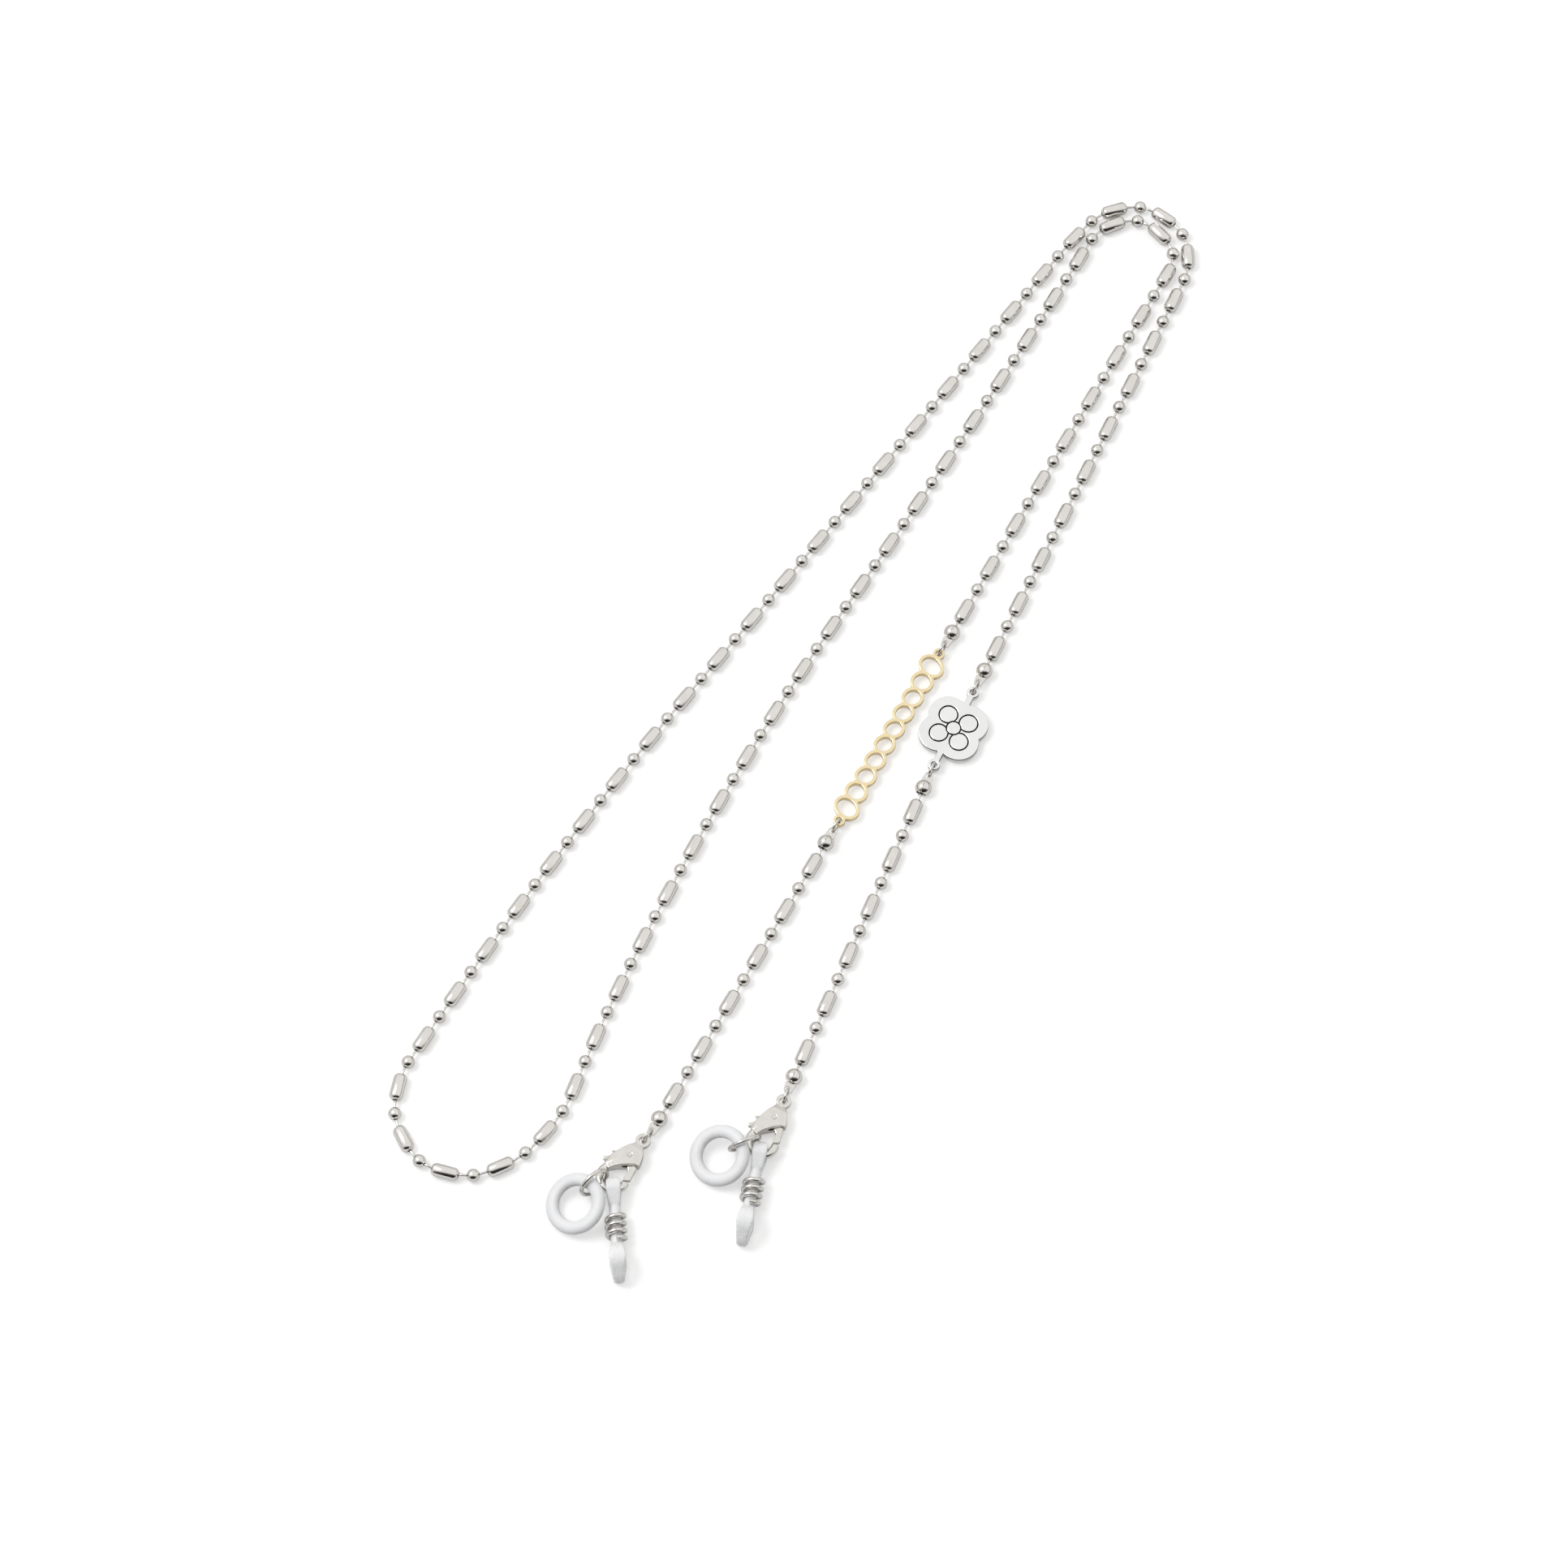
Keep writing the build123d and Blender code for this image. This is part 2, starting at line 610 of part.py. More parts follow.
def eye_reach(thickness, z):
    """How far from a standing jump ring's middle a plate's eye sits on its wire."""
    low = min(z - thickness / 2, RING_Z - (z + thickness / 2 - RING_Z))
    return (RING_MEAN_D / 2 + sqrt((RING_MEAN_D / 2) ** 2 - (RING_Z - low) ** 2)) / 2


def hang(point, heading, lift, roll, along):
    """Location whose X leaves a point at a heading and a lift, rolled about X, then moved along."""
    turned_place = Location(point, (0, 0, heading)) * Location((0, 0, 0), (0, -lift, 0))
    return turned_place * Location((0, 0, 0), (roll, 0, 0)) * Location((along, 0, 0))


def keep(name, solids):
    """Collect a node's solids under its name."""
    nodes.setdefault(name, []).extend(solids)


def keep_stretch(name, walk, pitches, last_z=BEAD_Z, first_z=BEAD_Z):
    """Lay a stretch of chain and keep its balls, bars and pins; note where it swings."""
    pivots[name] = ((*plan_ahead((walk.x, walk.y), walk.heading, BALL_SEAT), first_z), walk.heading)
    balls, bars, pins = lay_stretch(walk, pitches, last_z, first_z)
    keep(f"{name}_balls", [ball.moved(place) for place in balls])
    keep(f"{name}_bars", [bar.moved(place) for place in bars])
    keep(f"{name}_pins", [pin.moved(place) for place in pins])


def keep_ring(name, point, heading):
    """Stand a jump ring ahead of the point and give its middle."""
    keep(name, [jump_ring.moved(standing_ring(point, heading))])
    middle = plan_ahead(point, heading, RING_MEAN_D / 2)
    pivots[name] = ((*middle, RING_Z), heading)
    return middle


def lay_run(name, heading, lay, stretches):
    """One half of the long chain, from the first ball of the lower bend to its end cap."""
    walk = Walk(heading, lay)
    parts = ("lower_bend", f"{name}_strand", f"{name}_bend", f"{name}_end")
    for part, pitches in zip(parts, stretches):
        last_z = CAP_Z if part == parts[-1] else BEAD_Z
        keep_stretch(part, walk, pitches, last_z)
    keep(f"{name}_cap", [cap.moved(walk.place(CAP_Z))])
    return walk


def lay_ornament(side, name, walk, plate, span, thickness, headings):
    """Upper jump ring, ornament, lower jump ring and the tail's first cap; gives the tail's walk."""
    ring_heading, plate_heading, lower_heading, tail_heading = headings
    tab = plan_ahead((walk.x, walk.y), walk.heading, TAB_REACH)
    middle = keep_ring(f"{side}_upper_ring", tab, ring_heading)
    reach = eye_reach(thickness, BEAD_Z)
    eye = plan_ahead(middle, ring_heading, reach)
    keep(name, [plate.moved(Location((*eye, BEAD_Z), (0, 0, plate_heading)))])
    far_eye = plan_ahead(eye, plate_heading, span)
    middle = keep_ring(f"{side}_lower_ring",
                       plan_ahead(far_eye, lower_heading, reach - RING_MEAN_D / 2), lower_heading)
    tab = plan_ahead(middle, lower_heading, RING_MEAN_D / 2)
    tail = Walk(tail_heading, [(4 * TAIL_PITCHES, 0.0)])
    tail.x, tail.y = plan_ahead(tab, tail_heading, TAB_REACH)
    about_face = Location((0, 0, 0), (0, 0, 180))
    keep(f"{side}_tail_top_cap", [cap.moved(tail.place(CAP_Z) * about_face)])
    keep(f"{side}_tail_balls", [ball.moved(tail.place(CAP_Z))])
    keep_stretch(f"{side}_tail", tail, TAIL_PITCHES, CAP_Z, CAP_Z)
    keep(f"{side}_tail_clasp_cap", [cap.moved(tail.place(CAP_Z))])
    return tail


def lay_end(side, walk, end):
    """Clasp ring, clasp, hook ring, silicone ring, temple loop and coil of one end."""
    tab = plan_ahead((walk.x, walk.y), walk.heading, TAB_REACH)
    middle = keep_ring(f"{side}_clasp_ring", tab, end.ring_heading)
    eye = plan_ahead(middle, end.ring_heading, eye_reach(CLASP_EYE_THICK, RING_Z))
    loop_spot = on_hook(end.loop_at, LOOP_SET_R)
    tilt = degrees(asin((LOOP_PIVOT_Z - RING_Z) / loop_spot.position.X))
    clasp = Location((*eye, RING_Z), (0, 0, end.clasp_heading)) * Location((0, 0, 0), (0, -tilt, 0))
    for part, shape in clasp_parts.items():
        keep(f"{side}_clasp_{part}", [shape.moved(clasp)])
    link_spot = clasp * on_hook(end.link_at, HOOK_MEAN_R)
    link = hang(tuple(link_spot.position), *end.link_hang, end.link_reach)
    keep(f"{side}_hook_ring", [hook_ring.moved(link)])
    band_spot = link * Location((end.band_reach, 0, 0))
    grip = hang(tuple(band_spot.position), *end.grip_hang, GRIP_RING_HOLE_D / 2 + GRIP_BAND / 2)
    keep(f"{side}_grip_ring", [grip_ring.moved(grip)])
    loop_point = (clasp * loop_spot).position
    loop = Location((loop_point.X, loop_point.Y, LOOP_PIVOT_Z), (0, 0, end.loop_heading))
    keep(f"{side}_temple_loop", [temple_loop.moved(loop)])
    keep(f"{side}_loop_coil", [coil.moved(loop * Location((COIL_START, 0, 0)))])
    pivots[f"{side}_clasp"] = clasp
    pivots[f"{side}_link"] = (link_spot, link)
    pivots[f"{side}_grip"] = (band_spot, grip)
    pivots[f"{side}_loop"] = loop


ball = make_ball()
bar = make_bar()
pin = make_pin()
cap = make_cap()
jump_ring = make_wire_ring(RING_MEAN_D, RING_WIRE_D)
hook_ring = make_wire_ring(HOOK_RING_MEAN_D, HOOK_RING_WIRE_D)
grip_ring = make_grip_ring()
temple_loop = make_temple_loop()
coil = make_coil()
clasp_parts = {"body": make_clasp_body(), "lever": make_lever(), "lever_pin": make_lever_pin(),
               "lever_spring": make_lever_spring()}

keep("lower_bend_balls", [ball.moved(Location((*START_AT, BEAD_Z), (0, 0, START_HEADING)))])
inner = lay_run("inner", START_HEADING, LEFT_LAY, LEFT_STRETCHES)
outer = lay_run("outer", START_HEADING + 180, RIGHT_LAY, RIGHT_STRETCHES)
left_tail = lay_ornament("left", "scroll_bar", inner, make_scroll_bar(), SCROLL_SPAN, SCROLL_THICK,
                         SCROLL_HEADINGS)
right_tail = lay_ornament("right", "pendant", outer, make_pendant(), PENDANT_SPAN, PENDANT_THICK,
                          PENDANT_HEADINGS)
lay_end("left", left_tail, LEFT_END)
lay_end("right", right_tail, RIGHT_END)

os.makedirs("parts", exist_ok=True)
for node_name, solids in nodes.items():
    with BuildPart() as node:
        add(solids)
    node.part.label = node_name
    export_step(node.part, f"parts/{node_name}.step")
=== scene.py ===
"""Eyeglass chain with clasps, silicone loops and two ornaments, dressed over its CAD frame."""
import json
import logging
import math
from collections import deque
from dataclasses import dataclass, field
from enum import Enum

import bmesh
import bpy
import numpy as np
from mathutils import Matrix, Vector


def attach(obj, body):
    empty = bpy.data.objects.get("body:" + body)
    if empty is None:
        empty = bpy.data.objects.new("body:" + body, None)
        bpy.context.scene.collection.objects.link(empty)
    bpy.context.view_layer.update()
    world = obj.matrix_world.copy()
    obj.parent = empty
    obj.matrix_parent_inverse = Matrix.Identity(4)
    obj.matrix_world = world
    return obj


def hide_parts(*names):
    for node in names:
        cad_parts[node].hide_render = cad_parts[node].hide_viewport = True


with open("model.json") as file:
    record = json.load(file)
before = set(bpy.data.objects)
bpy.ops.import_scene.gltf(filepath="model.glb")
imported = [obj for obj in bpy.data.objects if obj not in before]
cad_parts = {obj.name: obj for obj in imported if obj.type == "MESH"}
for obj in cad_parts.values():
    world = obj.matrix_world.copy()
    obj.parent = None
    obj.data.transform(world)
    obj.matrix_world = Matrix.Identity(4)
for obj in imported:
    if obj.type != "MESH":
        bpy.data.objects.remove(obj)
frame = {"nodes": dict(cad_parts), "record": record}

LOG = logging.getLogger("eyeglass_chain")
MM = 0.001
SIDES = ("left", "right")
WELD_MM = 0.002  # CAD points closer than this are one point
GROOVE_SHADE_MASK = "painted_groove_shade"  # attribute that marks a plate's grooves for painted shade, a dark colour where shade falls in them
NOISE_SPAN = (0.3, 0.7)  # nearly all of a noise texture's values lie in here
PATCH_NOISE = (4.0, 0.6)  # detail and roughness of the noise for a metal's patches of colour,
MARK_NOISE = (3.0, 0.55)  # for its fine marks,
SOFT_NOISE = (2.0, 0.5)  # and for silicone's clouds and grain
MIX_SHARE, MIX_FIRST, MIX_SECOND, MIX_RESULT = 0, 6, 7, 2  # a mix node's sockets for colours
RING_STEPS, WIRE_SIDES = 64, 16  # points round a wire ring and round its wire
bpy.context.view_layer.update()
NODE_BODY: dict[str, str] = {
    node: body
    for body, members in frame["record"]["behaviour"]["bodies"].items() for node in members}


# ---- node and colour helpers -----------------------------------------------------------------

def linear(code: str) -> tuple[float, float, float, float]:
    """Turn an sRGB hex value into linear light.

    Args:
        code: six hex digits after a hash.

    Returns:
        Red, green, blue and a full alpha.
    """
    parts = [int(code[i:i + 2], 16) / 255 for i in (1, 3, 5)]
    return (*[p / 12.92 if p <= 0.04045 else ((p + 0.055) / 1.055) ** 2.4 for p in parts], 1.0)


def add_node(tree: bpy.types.NodeTree, kind: str, settings: dict | None = None,
             links: dict | None = None) -> bpy.types.Node:
    """Add a node with its settings and links.

    Args:
        tree: the tree that gets the node.
        kind: the node's Blender type.
        settings: values by property name, or by input name or number.
        links: output sockets by the input, by name or number, that each feeds.

    Returns:
        The new node.
    """
    node = tree.nodes.new(kind)
    for name, value in (settings or {}).items():
        if isinstance(name, str) and name in node.bl_rna.properties:
            setattr(node, name, value)
        else:
            node.inputs[name].default_value = value
    for name, socket in (links or {}).items():
        tree.links.new(socket, node.inputs[name])
    return node


def calc(tree: bpy.types.NodeTree, operation: str, first: bpy.types.NodeSocket | float,
         second: bpy.types.NodeSocket | float | None = None) -> bpy.types.NodeSocket:
    """Add a math node.

    Args:
        tree: the tree.
        operation: the node's operation.
        first: its first value, a socket or a number.
        second: its second value, if it takes one.

    Returns:
        The result's socket.
    """
    values = {i: v for i, v in enumerate((first, second)) if v is not None}
    numbers = {i: v for i, v in values.items() if isinstance(v, (int, float))}
    sockets = {i: v for i, v in values.items() if i not in numbers}
    node = add_node(tree, "ShaderNodeMath", {"operation": operation, **numbers}, sockets)
    return node.outputs[0]


def noise(tree: bpy.types.NodeTree, where: bpy.types.NodeSocket, size_mm: float,
          layers: tuple[float, float]) -> bpy.types.NodeSocket:
    """Add a noise texture.

    Args:
        tree: the tree.
        where: its coordinates.
        size_mm: size of its features.
        layers: number of its finer layers, and how strong they are.

    Returns:
        The value's socket.
    """
    return add_node(tree, "ShaderNodeTexNoise",
                    {"Scale": 1 / (size_mm * MM), "Detail": layers[0], "Roughness": layers[1]},
                    {"Vector": where}).outputs["Fac"]


def mixed(tree: bpy.types.NodeTree, share: bpy.types.NodeSocket, first: bpy.types.NodeSocket | str,
          second: bpy.types.NodeSocket | str) -> bpy.types.NodeSocket:
    """Mix two colours, each a hex value or a socket.

    Args:
        tree: the tree.
        share: the second colour's share.
        first: the first colour.
        second: the second colour.

    Returns:
        The mixed colour's socket.
    """
    ends = {MIX_FIRST: first, MIX_SECOND: second}
    codes = {i: linear(end) for i, end in ends.items() if isinstance(end, str)}
    sockets = {i: end for i, end in ends.items() if i not in codes}
    return add_node(tree, "ShaderNodeMix", {"data_type": "RGBA", **codes},
                    {MIX_SHARE: share, **sockets}).outputs[MIX_RESULT]


def mark_skin(tree: bpy.types.NodeTree, marks: bpy.types.NodeSocket,
              roughness: tuple[float, float], strength: float, depth_mm: float) -> None:
    """Let fine marks vary the gloss and the relief of a material's shader.

    Args:
        tree: the material's tree.
        marks: the marks' value.
        roughness: least and greatest roughness.
        strength: the relief's strength.
        depth_mm: the relief's depth.
    """
    shader = tree.nodes["Principled BSDF"]
    gloss = add_node(tree, "ShaderNodeMapRange",
                     {"From Min": NOISE_SPAN[0], "From Max": NOISE_SPAN[1],
                      "To Min": roughness[0], "To Max": roughness[1]}, {"Value": marks})
    bump = add_node(tree, "ShaderNodeBump", {"Strength": strength, "Distance": depth_mm * MM},
                    {"Height": marks})
    tree.links.new(gloss.outputs["Result"], shader.inputs["Roughness"])
    tree.links.new(bump.outputs["Normal"], shader.inputs["Normal"])


# ---- finishes --------------------------------------------------------------------------------

@dataclass(frozen=True)
class MetalFinish:
    """A metal surface: its colour, how it drifts, and the fine marks of how it was made."""

    name: str
    colour: str
    drift: str
    roughness: tuple[float, float]
    patch_mm: float
    mark_mm: float
    mark_depth_mm: float
    mark_stretch: float = 1.0
    anisotropic: float = 0.0
    # painted shade: the dark colour put into a plate's grooves, where shade falls
    painted_groove_shade: str = ""
    mark_strength: float = 0.6

    def build(self) -> bpy.types.Material:
        """Make the material. Its marks run along the chain, which lies along Y.

        Returns:
            The material.
        """
        material = bpy.data.materials.new(self.name)
        material.use_nodes = True
        tree = material.node_tree
        shader = tree.nodes["Principled BSDF"]
        shader.inputs["Metallic"].default_value = 1.0
        shader.inputs["Anisotropic"].default_value = self.anisotropic
        place = add_node(tree, "ShaderNodeTexCoord").outputs["Object"]
        patches = noise(tree, place, self.patch_mm, PATCH_NOISE)
        colour = mixed(tree, patches, self.colour, self.drift)
        # Painted shade: the grooves that the mask marks get a dark colour, standing in for the
        # shade in them.
        if self.painted_groove_shade:
            depth = add_node(tree, "ShaderNodeAttribute", {"attribute_name": GROOVE_SHADE_MASK})
            colour = mixed(tree, depth.outputs["Fac"], colour, self.painted_groove_shade)
        tree.links.new(colour, shader.inputs["Base Color"])
        along = add_node(tree, "ShaderNodeMapping", {"Scale": (1.0, self.mark_stretch, 1.0)},
                         {"Vector": place})
        marks = noise(tree, along.outputs["Vector"], self.mark_mm, MARK_NOISE)
        mark_skin(tree, marks, self.roughness, self.mark_strength, self.mark_depth_mm)
        return material


@dataclass(frozen=True)
class SiliconeFinish:
    """Milky moulded silicone: light goes a little way into it, and its skin is soft and matt."""

    name: str
    colour: str
    cloud: str
    roughness: tuple[float, float]
    transmission: float
    cloud_mm: float
    grain_mm: float
    grain_depth_mm: float
    grain_strength: float = 0.5
    ior: float = 1.41
    subsurface: float = 0.4
    subsurface_mm: tuple[float, float, float] = (0.80, 0.76, 0.72)

    def build(self) -> bpy.types.Material:
        """Make the material with cloudy colour inside and a fine spark-eroded mould grain.

        Returns:
            The material.
        """
        material = bpy.data.materials.new(self.name)
        material.use_nodes = True
        tree = material.node_tree
        shader = tree.nodes["Principled BSDF"]
        reach = max(self.subsurface_mm)
        for name, value in (("IOR", self.ior), ("Transmission Weight", self.transmission),
                            ("Subsurface Weight", self.subsurface),
                            ("Subsurface Radius", [depth / reach for depth in self.subsurface_mm]),
                            ("Subsurface Scale", reach * MM)):
            shader.inputs[name].default_value = value
        place = add_node(tree, "ShaderNodeTexCoord").outputs["Object"]
        clouds = noise(tree, place, self.cloud_mm, SOFT_NOISE)
        tree.links.new(mixed(tree, clouds, self.colour, self.cloud), shader.inputs["Base Color"])
        grain = noise(tree, place, self.grain_mm, SOFT_NOISE)
        mark_skin(tree, grain, self.roughness, self.grain_strength, self.grain_depth_mm)
        return material


class Finish(Enum):
    """Every finish on the chain."""

    # Barrel-polished rolled steel, rhodium flashed: near mirror, with soft handling haze.
    POLISHED_STEEL = MetalFinish(
        "polished_rolled_steel", "#f2f0ec", "#dfdbd6", (0.07, 0.16), 3.0, 0.35, 0.006)
    # Drawn stainless wire: bright, with faint lines from the die.
    STEEL_WIRE = MetalFinish(
        "drawn_steel_wire", "#efede9", "#dad7d2", (0.12, 0.26), 2.0, 0.20, 0.008, 0.4)
    # Nickel-plated zinc casting, tumbled: bright but softly uneven, as castings are.
    CAST_CLASP = MetalFinish(
        "tumbled_zinc_casting", "#f1efeb", "#dedad4", (0.06, 0.16), 1.6, 0.45, 0.008)
    # Gold-plated cut brass: pale warm gold with a satin, slightly pitted edge.
    GOLD_PLATE = MetalFinish(
        "gold_plated_brass", "#fdf0cb", "#f9e0ae", (0.14, 0.28), 2.5, 0.22, 0.010)
    # Rhodium-plated steel sheet with a fine lengthwise satin, its grooves darkened by painted
    # shade.
    SILVER_PLATE = MetalFinish(
        "satin_rhodium_sheet", "#fbfbfa", "#f1f1ef", (0.14, 0.26), 3.5, 0.16, 0.005, 0.25, 0.3,
        "#2f2f30")
    # Thin clear silicone of the temple loops, gone milky: a little light passes through it.
    LOOP_SILICONE = SiliconeFinish(
        "clear_moulded_silicone", "#f4f4f5", "#eaebec", (0.22, 0.32), 0.06, 2.2, 0.60, 0.004)
    # Thicker milky silicone of the grip rings: greyer, and less light gets through.
    RING_SILICONE = SiliconeFinish(
        "milky_moulded_silicone", "#ededee", "#e3e4e6", (0.28, 0.40), 0.04, 2.8, 0.60, 0.005)


class Wardrobe:
    """Makes each finish's material once and gives it out."""

    def __init__(self) -> None:
        """Start with no material made."""
        self._made: dict[Finish, bpy.types.Material] = {}

    def get(self, finish: Finish) -> bpy.types.Material:
        """Give out a finish's material, made on its first use.

        Args:
            finish: the finish.

        Returns:
            Its material.
        """
        if finish not in self._made:
            self._made[finish] = finish.value.build()
        return self._made[finish]


# ---- reading the frame -----------------------------------------------------------------------

def merged(node: str) -> bmesh.types.BMesh:
    """Copy a CAD node's mesh with its doubled points merged.

    Args:
        node: the CAD node's name.

    Returns:
        A new bmesh, which the caller frees.
    """
    shape = bmesh.new()
    shape.from_mesh(frame["nodes"][node].data)
    bmesh.ops.remove_doubles(shape, verts=shape.verts, dist=WELD_MM * MM)
    return shape


def solids(node: str) -> list[np.ndarray]:
    """List the points of each separate solid of a CAD node.

    Args:
        node: the CAD node's name.

    Returns:
        One array of points for each solid.
    """
    shape = merged(node)
    seen: set[int] = set()
    found = []
    shape.verts.ensure_lookup_table()
    for start in shape.verts:
        if start.index in seen:
            continue
        seen.add(start.index)
        waiting, points = deque([start]), []
        while waiting:
            vert = waiting.popleft()
            points.append(tuple(vert.co))
            for edge in vert.link_edges:
                other = edge.other_vert(vert)
                if other.index not in seen:
                    seen.add(other.index)
                    waiting.append(other)
        found.append(np.array(points))
    shape.free()
    return found


def middle(points: np.ndarray) -> np.ndarray:
    """Centre of a solid's box."""
    return (points.min(0) + points.max(0)) / 2


def spread(points: np.ndarray) -> np.ndarray:
    """Directions in which a solid spreads, narrowest first, one in each row."""
    _, vectors = np.linalg.eigh(np.cov((points - middle(points)).T))
    return vectors.T


def disc_frame(points: np.ndarray) -> tuple[np.ndarray, np.ndarray, np.ndarray, np.ndarray]:
    """Find how a flat round solid lies.

    Args:
        points: the solid's points.

    Returns:
        Its centre, its face's direction, and two directions in its plane.
    """
    face, first, _ = spread(points)
    return middle(points), face, first, np.cross(face, first)


@dataclass
class Spot:
    """Where one repeated piece lies."""

    place: np.ndarray
    axis: np.ndarray
    side: np.ndarray = field(default_factory=lambda: np.array([0.0, 0.0, 1.0]))


# ---- building helpers ------------------------------------------------------------------------

def shown(name: str, mesh: bpy.types.Mesh) -> bpy.types.Object:
    """Put a mesh in the scene, at the origin.

    Args:
        name: the new object's name.
        mesh: its mesh.

    Returns:
        The object.
    """
    piece = bpy.data.objects.new(name, mesh)
    bpy.context.scene.collection.objects.link(piece)
    return piece


def smooth_shaded(mesh: bpy.types.Mesh, material: bpy.types.Material) -> bpy.types.Mesh:
    """Shade a mesh smoothly and give it its only material.

    Args:
        mesh: the mesh.
        material: the material.

    Returns:
        The same mesh.
    """
    mesh.polygons.foreach_set("use_smooth", [True] * len(mesh.polygons))
    mesh.materials.clear()
    mesh.materials.append(material)
    return mesh


def spots_object(name: str, spots: list[Spot]) -> bpy.types.Object:
    """Make a mesh of single points that carry an axis and a side direction.

    Args:
        name: the object's name.
        spots: where the points lie.

    Returns:
        The object.
    """
    mesh = bpy.data.meshes.new(name)
    mesh.from_pydata([tuple(spot.place) for spot in spots], [], [])
    for label in ("axis", "side"):
        rows = [getattr(spot, label) for spot in spots]
        layer = mesh.attributes.new(label, "FLOAT_VECTOR", "POINT")
        layer.data.foreach_set("vector", np.array(rows, float).ravel())
    return shown(name, mesh)


def grown(name: str, tree: bpy.types.NodeTree, spots: list[Spot],
          sizes: dict[str, object]) -> bpy.types.Object:
    """Run a Geometry Nodes tree over spots and keep the result as a plain mesh.

    Args:
        name: the piece's name.
        tree: the tree to run.
        spots: where its copies go.
        sizes: values of the tree's named inputs.

    Returns:
        The finished piece, at the origin.
    """
    carrier = spots_object(name + "_points", spots)
    modifier = carrier.modifiers.new("grow", "NODES")
    modifier.node_group = tree
    for item in tree.interface.items_tree:
        if item.item_type == "SOCKET" and item.in_out == "INPUT" and item.name in sizes:
            modifier[item.identifier] = sizes[item.name]
    depsgraph = bpy.context.evaluated_depsgraph_get()
    mesh = bpy.data.meshes.new_from_object(carrier.evaluated_get(depsgraph))
    carrier.modifiers.clear()
    bpy.data.objects.remove(carrier)
    return shown(name, mesh)


def handed(piece: bpy.types.Object, node: str) -> bpy.types.Object:
    """Give a piece to the body of the CAD node that it stands for, and hide that node.

    Args:
        piece: the finished piece.
        node: the CAD node that it replaces.

    Returns:
        The piece.
    """
    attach(piece, NODE_BODY[node])
    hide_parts(node)
    LOG.info("%s rides on %s", piece.name, NODE_BODY[node])
    return piece


def softened(node: str, name: str, voxel_mm: float, rounds: int,
             material: bpy.types.Material) -> bpy.types.Object:
    """Rebuild a CAD node as one smooth skin with softly rounded edges.

    Args:
        node: the CAD node.
        name: the new piece's name.
        voxel_mm: the skin's mesh size.
        rounds: how often it is smoothed.
        material: its finish.

    Returns:
        The finished piece.
    """
    shape = merged(node)
    mesh = bpy.data.meshes.new(name)
    shape.to_mesh(mesh)
    shape.free()
    source = shown(name + "_source", mesh)
    remesh = source.modifiers.new("skin", "REMESH")
    remesh.mode = "VOXEL"
    remesh.voxel_size = voxel_mm * MM
    smooth = source.modifiers.new("soften", "SMOOTH")
    smooth.iterations = rounds
    depsgraph = bpy.context.evaluated_depsgraph_get()
    skin = bpy.data.meshes.new_from_object(source.evaluated_get(depsgraph))
    source.modifiers.clear()
    bpy.data.objects.remove(source)
    return handed(shown(name, smooth_shaded(skin, material)), node)


def dressed(node: str, material: bpy.types.Material) -> None:
    """Give a carried-over CAD node its finish.

    Args:
        node: the node's name.
        material: the finish.
    """
    part = frame["nodes"][node]
    part.data.materials.clear()
    part.data.materials.append(material)
    LOG.info("%s keeps its CAD shape", node)


# ---- Geometry Nodes trees --------------------------------------------------------------------

def new_tree(name: str, inputs: dict[str, str]) -> bpy.types.NodeTree:
    """Start a Geometry Nodes tree that takes points and gives back a shape.

    Args:
        name: the tree's name.
        inputs: type of each named input after the points: Float, Int or Material.

    Returns:
        The tree, with its sockets and no node yet.
    """
    tree = bpy.data.node_groups.new(name, "GeometryNodeTree")
    tree.interface.new_socket("Geometry", in_out="INPUT", socket_type="NodeSocketGeometry")
    for label, kind in inputs.items():
        tree.interface.new_socket(label, in_out="INPUT", socket_type="NodeSocket" + kind)
    tree.interface.new_socket("Geometry", in_out="OUTPUT", socket_type="NodeSocketGeometry")
    return tree


def finish_tree(tree: bpy.types.NodeTree, inputs: bpy.types.Node, shape: bpy.types.NodeSocket,
                roll: float) -> None:
    """Put copies of a shape on the points, turned to each point's axis and side.

    Args:
        tree: the tree.
        inputs: its group input node.
        shape: the geometry to copy, its length along X.
        roll: how far a copy may be rolled about its axis, in radians.
    """
    axis, side = (add_node(tree, "GeometryNodeInputNamedAttribute",
                           {"data_type": "FLOAT_VECTOR", "Name": name})
                  for name in ("axis", "side"))
    turn = add_node(tree, "FunctionNodeAxesToRotation",
                    {"primary_axis": "X", "secondary_axis": "Z"},
                    {0: axis.outputs["Attribute"], 1: side.outputs["Attribute"]})
    # Inputs 2 and 3 of a random node are its least and greatest number, and output 1 the number.
    chance = add_node(tree, "FunctionNodeRandomValue",
                      {"data_type": "FLOAT", 2: -roll, 3: roll}, {"Seed": inputs.outputs["Seed"]})
    spin = add_node(tree, "ShaderNodeCombineXYZ", {}, {"X": chance.outputs[1]})
    euler = add_node(tree, "FunctionNodeEulerToRotation", {}, {0: spin.outputs[0]})
    rolled = add_node(tree, "FunctionNodeRotateRotation", {"rotation_space": "LOCAL"},
                      {0: turn.outputs[0], 1: euler.outputs[0]})
    copies = add_node(tree, "GeometryNodeInstanceOnPoints", {},
                      {"Points": inputs.outputs["Geometry"], "Instance": shape,
                       "Rotation": rolled.outputs[0]})
    real = add_node(tree, "GeometryNodeRealizeInstances", {}, {0: copies.outputs[0]})
    smooth = add_node(tree, "GeometryNodeSetShadeSmooth", {}, {0: real.outputs[0]})
    painted = add_node(tree, "GeometryNodeSetMaterial", {},
                       {0: smooth.outputs[0], "Material": inputs.outputs["Finish"]})
    add_node(tree, "NodeGroupOutput", {}, {0: painted.outputs[0]})


